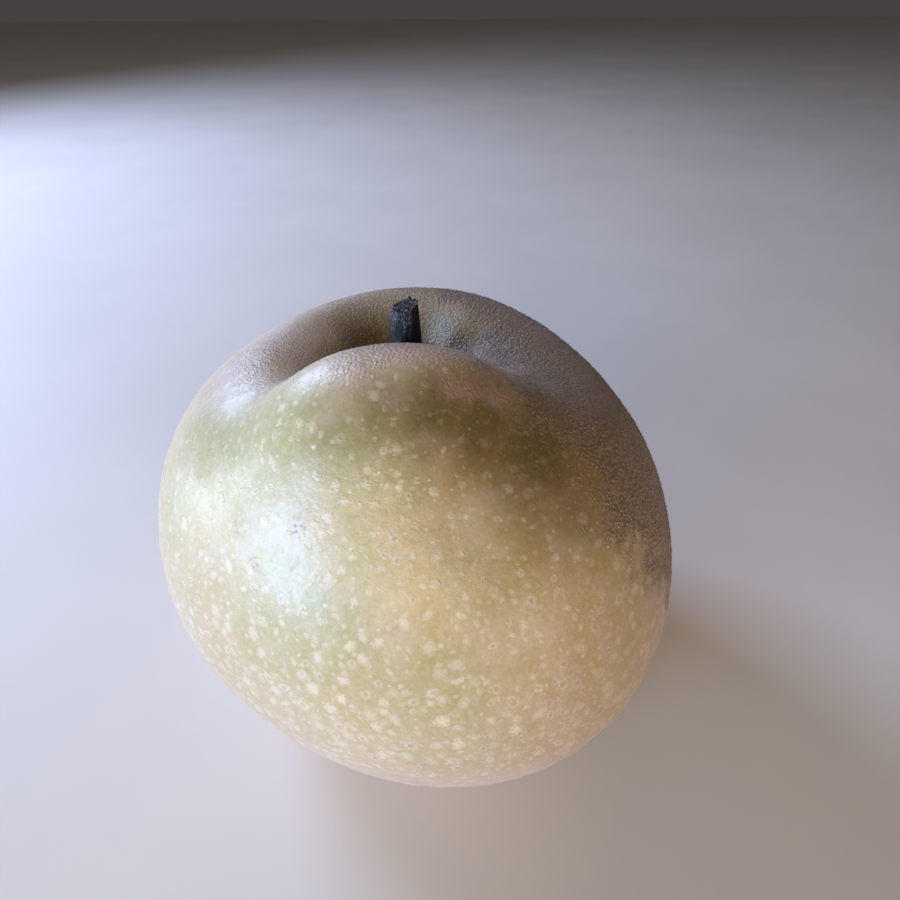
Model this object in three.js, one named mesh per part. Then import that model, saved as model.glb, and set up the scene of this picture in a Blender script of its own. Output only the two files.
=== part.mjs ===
import * as THREE from 'three';
import { mergeVertices } from 'three/addons/utils/BufferGeometryUtils.js';

// A nashi pear standing on the rim round its calyx, with its short stem
// Millimetres, +Z up. The tall shoulder faces -Y. Angles are in degrees:
// polar angles run from the stem (0) to the calyx (180), azimuths from +X.

// Body, measured from the middle of its girth
const GIRTH_RADIUS = 45;
const STEM_END_HEIGHT = 43.9;
const CALYX_END_HEIGHT = 35.4;
const FULLNESS = 0.945; // below 1 the flanks are fuller than a ball's
const TAPER = 0.03; // share by which the stem half is wider than the calyx half
const OVAL = { share: 0.05, azimuth: -66 };
const THREE_SIDED = { share: 0.03, azimuth: 64 };
const LEAN = { back: 4, left: 1, from: -12, to: 24 }; // grows between two heights

// Stem cavity, the tall shoulder in front of it and the lower ones round it
const CAVITY = { depth: 17, radius: 12.7, power: 1.9 };
const TALL_SHOULDER = {
  height: 6.4,
  radius: 21.2,
  azimuth: -98,
  halfWidth: 17.7,
  halfDepth: 12.4,
  turn: 8,
  power: 1.7,
};
const LOW_SHOULDERS = [
  { drop: 0.4, radius: 20, azimuth: 90 },
  { drop: 1.8, radius: 21, azimuth: 160 },
  { drop: 1.2, radius: 21, azimuth: 20 },
];
const LOW_SHOULDER_SPREAD = 11;

// Furrows that run out of the cavity on both sides of the tall shoulder
const FURROWS = [
  { depth: 3.6, azimuth: -28, spread: 7.5 },
  { depth: 2, azimuth: -150, spread: 6 },
];
const FURROW_RUN = { start: 4, deepest: 16, fadesFrom: 17, gone: 38 };

// Share of the height over which the stem end's relief comes in above the girth
const RELIEF_RISE = 0.4;

// Calyx basin, the pit left by the calyx, and the flat rim that the fruit rests on
const BASIN = { depth: 6.5, radius: 9 };
const CALYX_PIT = { depth: 1.6, radius: 3 };
const REST_RIM = { level: -32.9, outer: 161, inner: 167 };
const RIM_MARGIN = 0.1;

// Socket that holds the stem
const SOCKET = { polar: 3.95, depth: 1.5 };
const SOCKET_FLOOR_MARK = 0.9; // radius on the unit outline that marks its floor
const STEM_CLEARANCE = 0.35;

// Stem, from its foot in the socket to the middle of its slanted end
const STEM = { height: 18.4, footRadius: 2.85, tipRadius: 1.75, hollowing: 0.8 };
const STEM_RIBS = { count: 5, depth: 0.06, twist: 3 }; // twist in degrees per millimetre
const STEM_CUT = { slope: 0.6, azimuth: 20, torn: 0.25, from: 0.8 };

// Fineness of the surfaces
const SEGMENTS = 72;
const RING_RUNS = [
  { from: 180, to: REST_RIM.inner, steps: 6 },
  { from: REST_RIM.inner, to: REST_RIM.outer, steps: 1 },
  { from: REST_RIM.outer, to: 150, steps: 3 },
  { from: 150, to: 52, steps: 18 },
  { from: 52, to: SOCKET.polar, steps: 20 },
];
const STEM_SEGMENTS = 30;
const STEM_STEPS = 12;
const MERGE_DISTANCE = 1e-4;

const SKIN = { color: 0xa8925c, roughness: 0.55, metalness: 0 };
const BARK = { color: 0x2b211c, roughness: 0.8, metalness: 0 };

const { degToRad, smoothstep, lerp } = THREE.MathUtils;

// Point in plan at a radius and an azimuth
function planPoint(radius, azimuth) {
  const angle = degToRad(azimuth);
  return new THREE.Vector2(radius * Math.cos(angle), radius * Math.sin(angle));
}

// Share of the tall shoulder's height at a point in plan
function tallShoulderShare(x, y) {
  const centre = planPoint(TALL_SHOULDER.radius, TALL_SHOULDER.azimuth);
  const offset = new THREE.Vector2(x, y).sub(centre);
  offset.rotateAround(new THREE.Vector2(), -degToRad(TALL_SHOULDER.turn));
  const across = offset.x / TALL_SHOULDER.halfWidth;
  const along = offset.y / TALL_SHOULDER.halfDepth;
  return Math.exp(-((across * across + along * along) ** TALL_SHOULDER.power));
}

// Share of a low shoulder's drop at a point in plan
function lowShoulderShare(shoulder, x, y) {
  const centre = planPoint(shoulder.radius, shoulder.azimuth);
  const distance = Math.hypot(x - centre.x, y - centre.y) / LOW_SHOULDER_SPREAD;
  return Math.exp(-(distance * distance) / 2);
}

// Share of a furrow's depth at a point in plan
function furrowShare(furrow, x, y) {
  const heading = planPoint(1, furrow.azimuth);
  const along = x * heading.x + y * heading.y;
  const across = (y * heading.x - x * heading.y) / furrow.spread;
  const opens = smoothstep(along, FURROW_RUN.start, FURROW_RUN.deepest);
  const fades = 1 - smoothstep(along, FURROW_RUN.fadesFrom, FURROW_RUN.gone);
  return opens * fades * Math.exp(-(across * across) / 2);
}

// What the cavity, shoulders and furrows add to the height of the stem half
function stemEndRelief(x, y) {
  const reach = Math.hypot(x, y);
  let relief = -CAVITY.depth * Math.exp(-((reach / CAVITY.radius) ** CAVITY.power));
  relief += TALL_SHOULDER.height * tallShoulderShare(x, y);
  for (const shoulder of LOW_SHOULDERS) {
    relief -= shoulder.drop * lowShoulderShare(shoulder, x, y);
  }
  for (const furrow of FURROWS) {
    relief -= furrow.depth * furrowShare(furrow, x, y);
  }
  return relief;
}

// What the basin and the pit add to the height of the calyx half
function calyxEndRelief(reach) {
  const basin = BASIN.depth * Math.exp(-((reach / BASIN.radius) ** 2));
  const pit = CALYX_PIT.depth * Math.exp(-((reach / CALYX_PIT.radius) ** 2));
  return basin + pit;
}

// Lean of the stem end, which grows with height
function leaned(point) {
  const share = smoothstep(point.z, LEAN.from, LEAN.to);
  point.applyAxisAngle(new THREE.Vector3(1, 0, 0), -degToRad(LEAN.back) * share);
  return point.applyAxisAngle(new THREE.Vector3(0, 1, 0), -degToRad(LEAN.left) * share);
}

// Distance from the axis at a polar angle and an azimuth, both in radians
function girth(polar, azimuth) {
  const oval = OVAL.share * Math.cos(2 * (azimuth - degToRad(OVAL.azimuth)));
  const threeSided = THREE_SIDED.share * Math.cos(3 * (azimuth - degToRad(THREE_SIDED.azimuth)));
  const fullness = Math.abs(Math.sin(polar)) ** FULLNESS;
  return GIRTH_RADIUS * (1 + oval + threeSided) * fullness * (1 + TAPER * Math.cos(polar));
}

// Point of the skin at a polar angle and an azimuth, both in radians
function skinPoint(polar, azimuth) {
  const reach = girth(polar, azimuth);
  const rise = Math.cos(polar);
  const x = reach * Math.cos(azimuth);
  const y = reach * Math.sin(azimuth);
  if (rise > 0) {
    const relief = smoothstep(rise, 0, RELIEF_RISE) * stemEndRelief(x, y);
    return leaned(new THREE.Vector3(x, y, STEM_END_HEIGHT * rise + relief));
  }
  const point = leaned(new THREE.Vector3(x, y, CALYX_END_HEIGHT * rise + calyxEndRelief(reach)));
  const beyondOuter = polar > degToRad(REST_RIM.outer - RIM_MARGIN);
  const beforeInner = polar < degToRad(REST_RIM.inner + RIM_MARGIN);
  point.z = beyondOuter && beforeInner ? REST_RIM.level : Math.max(point.z, REST_RIM.level);
  return point;
}

// Turned outline of unit radius, from the calyx up, then down into the socket
function fruitOutline() {
  const points = [new THREE.Vector2(0, -1)];
  for (const run of RING_RUNS) {
    for (let step = 1; step <= run.steps; step += 1) {
      const polar = degToRad(lerp(run.from, run.to, step / run.steps));
      points.push(new THREE.Vector2(Math.sin(polar), Math.cos(polar)));
    }
  }
  const socketEdge = degToRad(SOCKET.polar);
  const floorEdge = new THREE.Vector2(Math.sin(socketEdge), Math.cos(socketEdge));
  points.push(floorEdge.multiplyScalar(SOCKET_FLOOR_MARK));
  points.push(new THREE.Vector2(0, SOCKET_FLOOR_MARK));
  return points;
}

const stemRoot = skinPoint(0, 0);
const socketFloor = stemRoot.z - SOCKET.depth;

// Closed mesh with its seam and poles merged
function closed(geometry) {
  geometry.deleteAttribute('normal');
  geometry.deleteAttribute('uv');
  const merged = mergeVertices(geometry, MERGE_DISTANCE);
  merged.computeVertexNormals();
  return merged;
}

function fruitGeometry() {
  const geometry = new THREE.LatheGeometry(fruitOutline(), SEGMENTS);
  geometry.rotateX(Math.PI / 2);
  const places = geometry.getAttribute('position');
  const mark = new THREE.Vector3();
  for (let i = 0; i < places.count; i += 1) {
    mark.fromBufferAttribute(places, i);
    const polar = Math.atan2(Math.hypot(mark.x, mark.y), mark.z);
    const point = skinPoint(polar, Math.atan2(mark.y, mark.x));
    if (mark.length() < (1 + SOCKET_FLOOR_MARK) / 2) {
      point.z = socketFloor;
    }
    places.setXYZ(i, point.x, point.y, point.z);
  }
  return closed(geometry);
}

// Radius of the stem at a share of its height
function stemRadius(share) {
  return lerp(STEM.tipRadius, STEM.footRadius, (1 - share) ** STEM.hollowing);
}

// Tapered stalk with ribs and a slanted, torn end
function stemGeometry() {
  const outline = [new THREE.Vector2(0, 0)];
  for (let step = 0; step <= STEM_STEPS; step += 1) {
    const share = step / STEM_STEPS;
    outline.push(new THREE.Vector2(stemRadius(share), share * STEM.height));
  }
  outline.push(new THREE.Vector2(STEM.tipRadius / 2, STEM.height));
  outline.push(new THREE.Vector2(0, STEM.height));
  const geometry = new THREE.LatheGeometry(outline, STEM_SEGMENTS);
  geometry.rotateX(Math.PI / 2);
  const places = geometry.getAttribute('position');
  const cut = planPoint(STEM_CUT.slope, STEM_CUT.azimuth);
  for (let i = 0; i < places.count; i += 1) {
    const x = places.getX(i);
    const y = places.getY(i);
    const z = places.getZ(i);
    const azimuth = Math.atan2(y, x) + degToRad(STEM_RIBS.twist * z);
    const rib = 1 + STEM_RIBS.depth * Math.cos(STEM_RIBS.count * azimuth);
    const edge = Math.min(Math.hypot(x, y) / STEM.tipRadius, 1);
    const torn = STEM_CUT.torn * Math.cos(3 * azimuth) * edge;
    const end = smoothstep(z / STEM.height, STEM_CUT.from, 1);
    places.setXYZ(i, x * rib, y * rib, z + end * (x * cut.x + y * cut.y + torn));
  }
  return closed(geometry);
}

function part(name, geometry, finish) {
  const mesh = new THREE.Mesh(geometry, new THREE.MeshStandardMaterial(finish));
  mesh.name = name;
  return mesh;
}

const fruit = part('fruit', fruitGeometry(), SKIN);
const stem = part('stem', stemGeometry(), BARK);
stem.position.set(stemRoot.x, stemRoot.y, socketFloor + STEM_CLEARANCE);

// The pear stands on the ground with its plan centred on the origin
const pear = new THREE.Group();
pear.add(fruit, stem);
const reach = new THREE.Box3().setFromObject(fruit);
const middle = reach.getCenter(new THREE.Vector3());
pear.position.set(-middle.x, -middle.y, -reach.min.z);
pear.updateMatrixWorld(true);

export default pear;
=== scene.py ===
"""A nashi pear on a pale floor: thin gold-green skin with raised pale dots, and a dark cut stem."""

import logging
import math
from dataclasses import dataclass
from enum import Enum

import bpy
import numpy as np
from mathutils import Matrix, Vector


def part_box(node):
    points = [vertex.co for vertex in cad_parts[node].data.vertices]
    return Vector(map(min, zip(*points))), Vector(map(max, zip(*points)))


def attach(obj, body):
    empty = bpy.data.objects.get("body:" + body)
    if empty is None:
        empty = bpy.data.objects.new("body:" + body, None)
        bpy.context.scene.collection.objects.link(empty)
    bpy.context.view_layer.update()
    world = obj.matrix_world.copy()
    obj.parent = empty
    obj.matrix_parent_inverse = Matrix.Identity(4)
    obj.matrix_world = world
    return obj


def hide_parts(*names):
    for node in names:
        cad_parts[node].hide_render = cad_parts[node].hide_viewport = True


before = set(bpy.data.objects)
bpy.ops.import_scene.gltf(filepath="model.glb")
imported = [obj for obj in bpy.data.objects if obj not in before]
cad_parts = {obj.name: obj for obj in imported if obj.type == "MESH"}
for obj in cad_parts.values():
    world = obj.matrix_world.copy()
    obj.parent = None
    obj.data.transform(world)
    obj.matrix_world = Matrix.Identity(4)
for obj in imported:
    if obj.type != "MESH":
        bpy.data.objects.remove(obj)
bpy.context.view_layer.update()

LOG = logging.getLogger("nashi_pear")
MM = 0.001
FLOAT, COLOUR = "NodeSocketFloat", "NodeSocketColor"
Colour = tuple[float, float, float, float]
Node, Tree, Thing = bpy.types.Node, bpy.types.NodeTree, bpy.types.Object
Socket, Sockets = bpy.types.NodeSocket, bpy.types.bpy_prop_collection
Value = float | tuple[float, ...] | Socket


def smoothstep(value: np.ndarray, low: float, high: float) -> np.ndarray:
    """Smooth rise from 0 at low to 1 at high.

    Args:
        value: Numbers to map.
        low: Where the rise starts.
        high: Where the rise ends.

    Returns:
        Shares between 0 and 1.
    """
    share = np.clip((value - low) / (high - low), 0.0, 1.0)
    return share * share * (3.0 - 2.0 * share)


@dataclass(frozen=True)
class Ripple:
    """Soft irregular relief, a seeded sum of plane waves in space."""

    seed: int
    shortest: float
    longest: float
    waves: int = 26

    def height(self, points: np.ndarray) -> np.ndarray:
        """Relief at points in millimetres.

        Args:
            points: Places, one to a row.

        Returns:
            Heights, mostly between -1 and 1.
        """
        draw = np.random.default_rng(self.seed)
        heading = draw.normal(size=(self.waves, 3))
        heading /= np.linalg.norm(heading, axis=1, keepdims=True)
        length = draw.uniform(self.shortest, self.longest, self.waves)
        start = draw.uniform(0.0, math.tau, self.waves)
        phase = points @ (heading * (math.tau / length)[:, None]).T + start
        return np.cos(phase).sum(axis=1) / math.sqrt(self.waves)


@dataclass(frozen=True)
class LowShoulder:
    """Dip in the ring of shoulders round the cavity: depth, place and spread."""

    drop: float
    radius: float
    azimuth: float
    spread: float = 11.0


@dataclass(frozen=True)
class Furrow:
    """Shallow valley that runs out of the cavity."""

    depth: float
    azimuth: float
    spread: float
    start: float = 4.0
    deepest: float = 16.0
    fades_from: float = 17.0
    gone: float = 38.0

    def share(self, x: np.ndarray, y: np.ndarray) -> np.ndarray:
        """Share of the depth at places in plan.

        Args:
            x: Distances to the right of the axis, in millimetres.
            y: Distances behind the axis, in millimetres.

        Returns:
            Shares between 0 and 1.
        """
        angle = math.radians(self.azimuth)
        along = x * math.cos(angle) + y * math.sin(angle)
        across = (y * math.cos(angle) - x * math.sin(angle)) / self.spread
        opens = smoothstep(along, self.start, self.deepest)
        fades = 1.0 - smoothstep(along, self.fades_from, self.gone)
        return opens * fades * np.exp(-(across**2) / 2.0)


@dataclass(frozen=True)
class BodyForm:
    """Form of the fruit in millimetres and degrees, the same as its solid has."""

    girth_radius: float = 45.0
    stem_end_height: float = 43.9
    calyx_end_height: float = 35.4
    fullness: float = 0.945
    taper: float = 0.03
    oval: tuple[float, float] = (0.05, -66.0)
    three_sided: tuple[float, float] = (0.03, 64.0)
    lean_back: float = 4.0
    lean_left: float = 1.0
    lean_heights: tuple[float, float] = (-12.0, 24.0)
    cavity_depth: float = 17.0
    cavity_radius: float = 12.7
    cavity_power: float = 1.9
    tall_height: float = 6.4
    tall_radius: float = 21.2
    tall_azimuth: float = -98.0
    tall_half_width: float = 17.7
    tall_half_depth: float = 12.4
    tall_turn: float = 8.0
    tall_power: float = 1.7
    low_shoulders: tuple[LowShoulder, ...] = (
        LowShoulder(0.4, 20.0, 90.0),
        LowShoulder(1.8, 21.0, 160.0),
        LowShoulder(1.2, 21.0, 20.0),
    )
    furrows: tuple[Furrow, ...] = (Furrow(3.6, -28.0, 7.5), Furrow(2.0, -150.0, 6.0))
    relief_rise: float = 0.4
    basin: tuple[float, float] = (6.5, 9.0)
    pit: tuple[float, float] = (1.6, 3.0)
    rim_level: float = -32.9
    rim_outer: float = 161.0
    rim_inner: float = 167.0

    def reach(self, polar: np.ndarray, azimuth: np.ndarray) -> np.ndarray:
        """Distance of the skin from the axis.

        Args:
            polar: Angles from the stem end in radians.
            azimuth: Angles round the axis in radians.

        Returns:
            Distances in millimetres.
        """
        share, at = self.oval
        oval = share * np.cos(2.0 * (azimuth - math.radians(at)))
        share, at = self.three_sided
        lobes = share * np.cos(3.0 * (azimuth - math.radians(at)))
        full = np.abs(np.sin(polar)) ** self.fullness
        return self.girth_radius * (1.0 + oval + lobes) * full * (1.0 + self.taper * np.cos(polar))

    def tall_share(self, x: np.ndarray, y: np.ndarray) -> np.ndarray:
        """Share of the tall shoulder's height at places in plan.

        Args:
            x: Distances to the right of the axis, in millimetres.
            y: Distances behind the axis, in millimetres.

        Returns:
            Shares between 0 and 1.
        """
        at, turn = math.radians(self.tall_azimuth), -math.radians(self.tall_turn)
        dx = x - self.tall_radius * math.cos(at)
        dy = y - self.tall_radius * math.sin(at)
        across = (dx * math.cos(turn) - dy * math.sin(turn)) / self.tall_half_width
        along = (dx * math.sin(turn) + dy * math.cos(turn)) / self.tall_half_depth
        return np.exp(-((across**2 + along**2) ** self.tall_power))

    def stem_end_relief(self, x: np.ndarray, y: np.ndarray) -> np.ndarray:
        """What the cavity, shoulders and furrows add to the height of the stem half.

        Args:
            x: Distances to the right of the axis, in millimetres.
            y: Distances behind the axis, in millimetres.

        Returns:
            Heights in millimetres.
        """
        reach = np.hypot(x, y)
        relief = -self.cavity_depth * np.exp(-((reach / self.cavity_radius) ** self.cavity_power))
        relief = relief + self.tall_height * self.tall_share(x, y)
        for low in self.low_shoulders:
            at = math.radians(low.azimuth)
            far = np.hypot(x - low.radius * math.cos(at), y - low.radius * math.sin(at))
            relief = relief - low.drop * np.exp(-((far / low.spread) ** 2) / 2.0)
        for furrow in self.furrows:
            relief = relief - furrow.depth * furrow.share(x, y)
        return relief

    def calyx_end_relief(self, reach: np.ndarray) -> np.ndarray:
        """What the basin and its pit add to the height of the calyx half."""
        relief = self.basin[0] * np.exp(-((reach / self.basin[1]) ** 2))
        return relief + self.pit[0] * np.exp(-((reach / self.pit[1]) ** 2))

    def points(self, polar: np.ndarray, azimuth: np.ndarray) -> np.ndarray:
        """Places of the skin, measured from the middle of the girth.

        Args:
            polar: Angles from the stem end in radians.
            azimuth: Angles round the axis in radians.

        Returns:
            Places in millimetres, one to a row.
        """
        reach, rise = self.reach(polar, azimuth), np.cos(polar)
        x, y = reach * np.cos(azimuth), reach * np.sin(azimuth)
        upper = self.stem_end_height * rise
        upper = upper + smoothstep(rise, 0.0, self.relief_rise) * self.stem_end_relief(x, y)
        lower = self.calyx_end_height * rise + self.calyx_end_relief(reach)
        z = np.where(rise > 0.0, upper, lower)
        share = smoothstep(z, *self.lean_heights)
        back, left = math.radians(self.lean_back) * share, math.radians(self.lean_left) * share
        y, z = y * np.cos(back) + z * np.sin(back), z * np.cos(back) - y * np.sin(back)
        x, z = x * np.cos(left) - z * np.sin(left), x * np.sin(left) + z * np.cos(left)
        level = (polar >= math.radians(self.rim_outer)) & (polar <= math.radians(self.rim_inner))
        z = np.where(rise > 0.0, z, np.maximum(z, self.rim_level))
        return np.stack([x, y, np.where(level, self.rim_level, z)], axis=-1)


@dataclass(frozen=True)
class SkinPlace:
    """Where the fruit stands in the frame, found from the box of its solid."""

    form: BodyForm
    polar_steps: int = 181
    azimuth_steps: int = 361

    def shift(self) -> np.ndarray:
        """Move from the form's own middle to the frame.

        Returns:
            The move along each axis, in millimetres.
        """
        polar = np.linspace(0, math.pi, self.polar_steps)
        polar, azimuth = np.meshgrid(polar, np.linspace(0, math.tau, self.azimuth_steps))
        around = self.form.points(polar.ravel(), azimuth.ravel())
        low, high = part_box("fruit")
        middle = (around.min(axis=0) + around.max(axis=0)) / 2.0
        centre = np.array((low + high) / 2.0) / MM
        return np.array([centre[0] - middle[0], centre[1] - middle[1], -self.form.rim_level])


@dataclass(frozen=True)
class Ramp:
    """Smooth change from start to end as a value goes from low to high."""

    low: float
    high: float
    start: float = 0.0
    end: float = 1.0


@dataclass(frozen=True)
class Noise:
    """Fineness of a noise: features to a metre, levels of detail and roughness."""

    per_metre: float
    detail: float = 3.0
    rough: float = 0.55


class Wiring:
    """Adds nodes to a tree, sets or joins their sockets, and gives back sockets."""

    def __init__(self, tree: Tree) -> None:
        """Keeps the tree that the nodes go into."""
        self.tree = tree

    def node(self, kind: str, inputs: dict[str | int, Value] | None = None, **settings: object) -> Node:
        """Adds one node.

        Args:
            kind: Blender's name of the node type.
            inputs: Values or sockets for its inputs, by name or place.
            settings: Values of the node's own properties.

        Returns:
            The new node.
        """
        made = self.tree.nodes.new(kind)
        for name, value in settings.items():
            setattr(made, name, value)
        for key, value in (inputs or {}).items():
            self.feed(made.inputs[key], value)
        return made

    def feed(self, socket: Socket, value: Value) -> None:
        """Joins a socket to an input, or sets the input's value.

        Args:
            socket: Input to join or set.
            value: Socket to join to it, or its plain value.
        """
        if isinstance(value, Socket):
            self.tree.links.new(value, socket)
        else:
            socket.default_value = value

    def maths(self, operation: str, first: Value, second: Value = 0.0) -> Socket:
        """Result of a maths node on two values."""
        return self.node("ShaderNodeMath", {0: first, 1: second}, operation=operation).outputs[0]

    def measure(self, operation: str, first: Value, second: Value = (0.0, 0.0, 0.0)) -> Socket:
        """Length that a vector maths node finds from two vectors."""
        inputs = {0: first, 1: second}
        return self.node("ShaderNodeVectorMath", inputs, operation=operation).outputs["Value"]

    def times(self, *factors: Value) -> Value:
        """Product of several values.

        Args:
            factors: Values or sockets to multiply.

        Returns:
            Socket of the product.
        """
        product = factors[0]
        for factor in factors[1:]:
            product = self.maths("MULTIPLY", product, factor)
        return product

    def ramp(self, value: Value, ramp: Ramp) -> Socket:
        """Where a value stands on a ramp.

        Args:
            value: Value or socket that goes along the ramp.
            ramp: The ramp.

        Returns:
            Socket of the ramp's height there.
        """
        inputs = {"Value": value, "From Min": ramp.low, "From Max": ramp.high}
        inputs |= {"To Min": ramp.start, "To Max": ramp.end}
        return self.node("ShaderNodeMapRange", inputs, interpolation_type="SMOOTHSTEP").outputs["Result"]

    def blend(self, share: Value, first: Value, second: Value, mode: str = "MIX") -> Socket:
        """Colour between two colours by a share."""
        inputs = {0: share, 6: first, 7: second}
        return self.node("ShaderNodeMix", inputs, data_type="RGBA", blend_type=mode).outputs[2]

    def noise(self, place: Value, noise: Noise) -> Socket:
        """Noise from 0 to 1 at a place.

        Args:
            place: Socket of the place in metres.
            noise: Fineness of the noise.

        Returns:
            Socket of the noise.
        """
        inputs = {"Vector": place, "Scale": noise.per_metre}
        inputs |= {"Detail": noise.detail, "Roughness": noise.rough}
        return self.node("ShaderNodeTexNoise", inputs, noise_dimensions="3D").outputs["Fac"]

    def cells(self, place: Value, per_metre: float) -> Socket:
        """Distance to the nearest of scattered middles, so many to a metre."""
        inputs = {"Vector": place, "Scale": per_metre}
        return self.node("ShaderNodeTexVoronoi", inputs, feature="F1").outputs["Distance"]

    def place(self) -> Socket:
        """Place on the piece in metres, which is its place in the frame."""
        return self.node("ShaderNodeTexCoord").outputs["Object"]

    def attribute(self, name: str) -> Socket:
        """Number that the piece's mesh carries under a name."""
        return self.node("ShaderNodeAttribute", attribute_name=name).outputs["Fac"]

    def stretched(self, place: Value, upright: float) -> Socket:
        """Place with its height stretched, so that a pattern on it grows taller or lower."""
        inputs = {"Vector": place, "Scale": (1.0, 1.0, upright)}
        return self.node("ShaderNodeMapping", inputs).outputs["Vector"]


def new_group(name: str, inputs: dict[str, str], outputs: dict[str, str]) -> tuple[Wiring, Node, Node]:
    """Starts a shader node group with named sockets.

    Args:
        name: Name of the group.
        inputs: Socket types by input name.
        outputs: Socket types by output name.

    Returns:
        The wiring of the group, its input node and its output node.
    """
    group = bpy.data.node_groups.new(name, "ShaderNodeTree")
    for label, kind in inputs.items():
        group.interface.new_socket(label, in_out="INPUT", socket_type=kind)
    for label, kind in outputs.items():
        group.interface.new_socket(label, in_out="OUTPUT", socket_type=kind)
    wiring = Wiring(group)
    return wiring, wiring.node("NodeGroupInput"), wiring.node("NodeGroupOutput")


@dataclass(frozen=True)
class Patch:
    """Soft round patch of colour on the skin, by its place in the frame in metres."""

    centre: tuple[float, float, float]
    radius: float
    strength: float
    outer: float = 1.9
    inner: float = 0.2

    def fading(self) -> Ramp:
        """Share of the patch by the distance from its centre."""
        return Ramp(self.radius * self.outer, self.radius * self.inner, 0.0, self.strength)


@dataclass(frozen=True)
class RussetSide:
    """Side of the fruit that is russet all over, beyond a plane through it, in metres."""

    normal: tuple[float, float, float] = (0.805, 0.23, 0.548)
    offset: float = 0.0471
    edge: tuple[float, float] = (-0.0035, 0.0040)

    def share(self, places: np.ndarray) -> np.ndarray:
        """Share of russet at places in metres."""
        return smoothstep(places @ np.array(self.normal) - self.offset, *self.edge)

    def mask(self, wire: Wiring, place: Value, wobble: Value) -> Socket:
        """Share of russet at a socket's place, with an uneven edge.

        Args:
            wire: Wiring of the tree that the nodes go into.
            place: Socket of the place in metres.
            wobble: Socket of a length that makes the edge uneven.

        Returns:
            Socket of the share.
        """
        beyond = wire.maths("ADD", wire.measure("DOT_PRODUCT", place, self.normal), wobble)
        return wire.ramp(beyond, Ramp(self.offset + self.edge[0], self.offset + self.edge[1]))


def patch_mask(wire: Wiring, place: Value, wobble: Value, patches: tuple[Patch, ...]) -> Socket:
    """Greatest share of any of several patches at a place.

    Args:
        wire: Wiring of the tree that the nodes go into.
        place: Socket of the place in metres.
        wobble: Socket of a length that makes the patches' edges uneven.
        patches: The patches.

    Returns:
        Socket of the share.
    """
    share: Value = 0.0
    for patch in patches:
        far = wire.maths("ADD", wire.measure("DISTANCE", place, patch.centre), wobble)
        share = wire.maths("MAXIMUM", share, wire.ramp(far, patch.fading()))
    return share


@dataclass(frozen=True)
class GroundColours:
    """Colours under the dots: gold and straw, and those of patches, hollows and the russet side, with a
    painted shade, a painted sheen and a blush that is partly painted sheen.
    """

    gold: Colour = (0.48, 0.36, 0.15, 1.0)
    straw: Colour = (0.55, 0.44, 0.28, 1.0)
    olive: Colour = (0.335, 0.345, 0.135, 1.0)
    ochre: Colour = (0.48, 0.32, 0.135, 1.0)
    pale: Colour = (0.54, 0.43, 0.31, 1.0)
    # Pink of the low rim, partly a painted sheen.
    blush: Colour = (0.57, 0.42, 0.36, 1.0)
    # Painted shade: dark olive-brown that stands in for the shadow on the upper right and in the cavity.
    umber: Colour = (0.115, 0.078, 0.012, 1.0)
    russet: Colour = (0.142, 0.082, 0.046, 1.0)
    # Painted sheen: pale mauve that stands in for light grazing the crest and the back.
    haze: Colour = (0.52, 0.38, 0.32, 1.0)


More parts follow.
